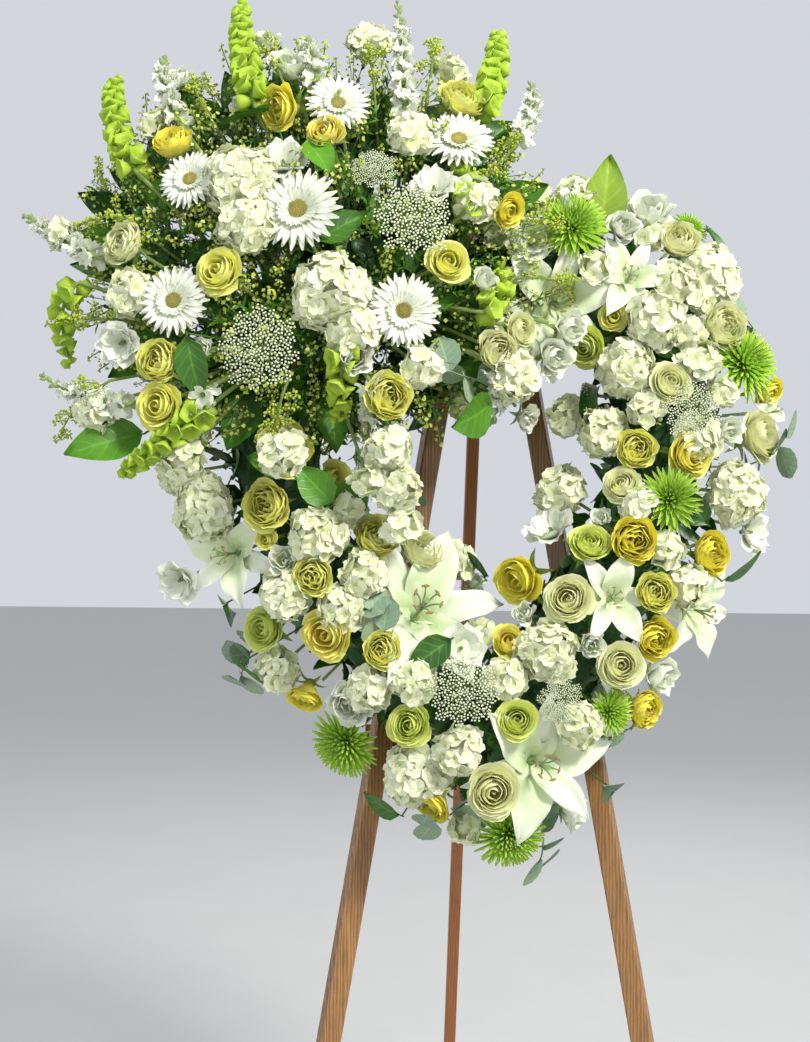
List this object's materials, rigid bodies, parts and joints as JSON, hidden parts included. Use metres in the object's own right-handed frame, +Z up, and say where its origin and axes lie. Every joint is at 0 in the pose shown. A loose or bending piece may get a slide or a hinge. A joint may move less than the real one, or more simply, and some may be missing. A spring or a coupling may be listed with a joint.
{
  "type": "funeral wreath on easel",
  "caption": "Open-heart funeral wreath of white, cream, yellow and lime flowers with a spray at its upper left, tied to a folding wooden tripod easel.",
  "frame": {"origin": "bottom centre of the bounding box, on the floor between the easel's feet", "axes": "+Z up, the flowers face -Y, +X to the viewer's right"},
  "size_m": [0.9345, 0.8149, 1.7193],
  "materials": {
    "wood": "smooth varnished pine, orange brown",
    "rear_wood": "smooth varnished pine, redder",
    "steel": "plain zinc-plated steel",
    "tray_plastic": "dark green moulded plastic",
    "wet_foam": "matt green floral foam",
    "wire": "green lacquered florist's wire",
    "white_petal": "soft translucent white petals",
    "cream_petal": "soft cream petals",
    "yellow_petal": "soft lemon yellow petals",
    "lime_petal": "lime green petals",
    "bell_green": "soft yellow-green bells",
    "leaf": "satin green leaves"
  },
  "bodies": {
    "front": {"front_leg_left": "wood", "front_leg_right": "wood", "top_block": "wood", "hinge_bracket": "steel", "hinge_pin": "steel", "crossbar": "wood", "peg_left": "wood", "peg_right": "wood", "heart_tray": "tray_plastic", "heart_foam": "wet_foam", "spray_tray": "tray_plastic", "spray_foam": "wet_foam", "tie_wire": "wire", "lily_centre": "white_petal", "lily_bottom": "white_petal", "lily_top": "white_petal", "lily_right": "white_petal", "lily_left": "white_petal", "lily_middle": "white_petal", "gerbera_centre": "white_petal", "gerbera_right": "white_petal", "gerbera_left": "white_petal", "gerbera_far_right": "white_petal", "gerbera_far_left": "white_petal", "gerbera_top": "white_petal", "rose_hole": "yellow_petal", "rose_orange": "yellow_petal", "rose_bottom": "cream_petal", "rose_upper_left": "yellow_petal", "rose_far_right": "cream_petal", "rose_spray_centre": "yellow_petal", "rose_spray_right": "yellow_petal", "rose_spray_top": "yellow_petal", "rose_spray_low": "yellow_petal", "hydrangea_spray_left": "white_petal", "hydrangea_spray_centre": "white_petal", "hydrangea_left": "white_petal", "hydrangea_lower_left": "white_petal", "hydrangea_top_right": "white_petal", "hydrangea_right": "white_petal", "hydrangea_hole": "white_petal", "mum_lime_right": "lime_petal", "mum_top": "lime_petal", "mum_left": "lime_petal", "mum_bottom": "lime_petal", "lace_low": "white_petal", "lace_spray_right": "white_petal", "lace_spray_left": "white_petal", "leaf_top": "leaf", "leaf_left": "leaf", "snapdragon_top": "white_petal", "snapdragon_top_left": "white_petal", "snapdragon_left": "white_petal", "snapdragon_low_left": "white_petal", "snapdragon_right": "white_petal", "bells_top": "bell_green", "bells_left": "bell_green", "bells_right": "bell_green", "bells_low": "bell_green"},
    "rear": {"rear_leg": "rear_wood"}
  },
  "joints": [
    {"name": "rear_leg_fold", "type": "hinge", "parent": "front", "child": "rear", "pos_m": [0.114, -0.015, 1.47], "axis": [1, 0, 0], "range_deg": [-26, 0]}
  ]
}
